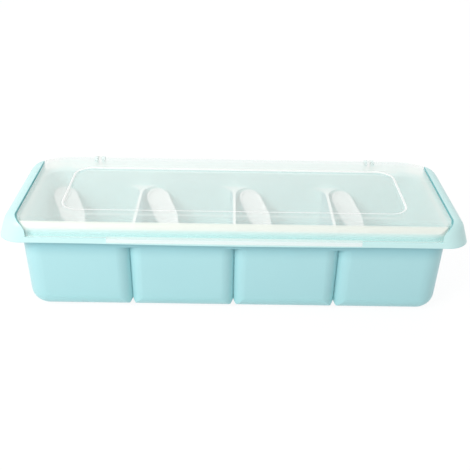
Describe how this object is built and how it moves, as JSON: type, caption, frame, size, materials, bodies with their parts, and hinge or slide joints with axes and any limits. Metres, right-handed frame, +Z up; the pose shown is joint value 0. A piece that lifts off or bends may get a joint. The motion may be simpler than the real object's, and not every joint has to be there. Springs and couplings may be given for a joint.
{
  "type": "spice box",
  "caption": "Long plastic spice box: a row of joined pots in one base, end grips, a hinged see-through lid and a loose spoon in each pot.",
  "frame": {"origin": "middle of the box's plan at the level that it stands on", "axes": "+X along the row of pots, +Y from the front to the hinge side, +Z up"},
  "size_m": [0.325, 0.1108, 0.0755],
  "materials": {
    "base_plastic": "satin light blue moulded plastic",
    "lid_plastic": "frosted see-through moulded plastic",
    "spoon_plastic": "white moulded plastic"
  },
  "bodies": {
    "base": {"base": "base_plastic", "spoon_1": "spoon_plastic", "spoon_2": "spoon_plastic", "spoon_3": "spoon_plastic", "spoon_4": "spoon_plastic"},
    "lid": {"lid": "lid_plastic"}
  },
  "joints": [
    {"name": "lid_hinge", "type": "hinge", "parent": "base", "child": "lid", "pos_m": [0, 0.0524, 0.0725], "axis": [-1, 0, 0], "range_deg": [0, 110]}
  ]
}
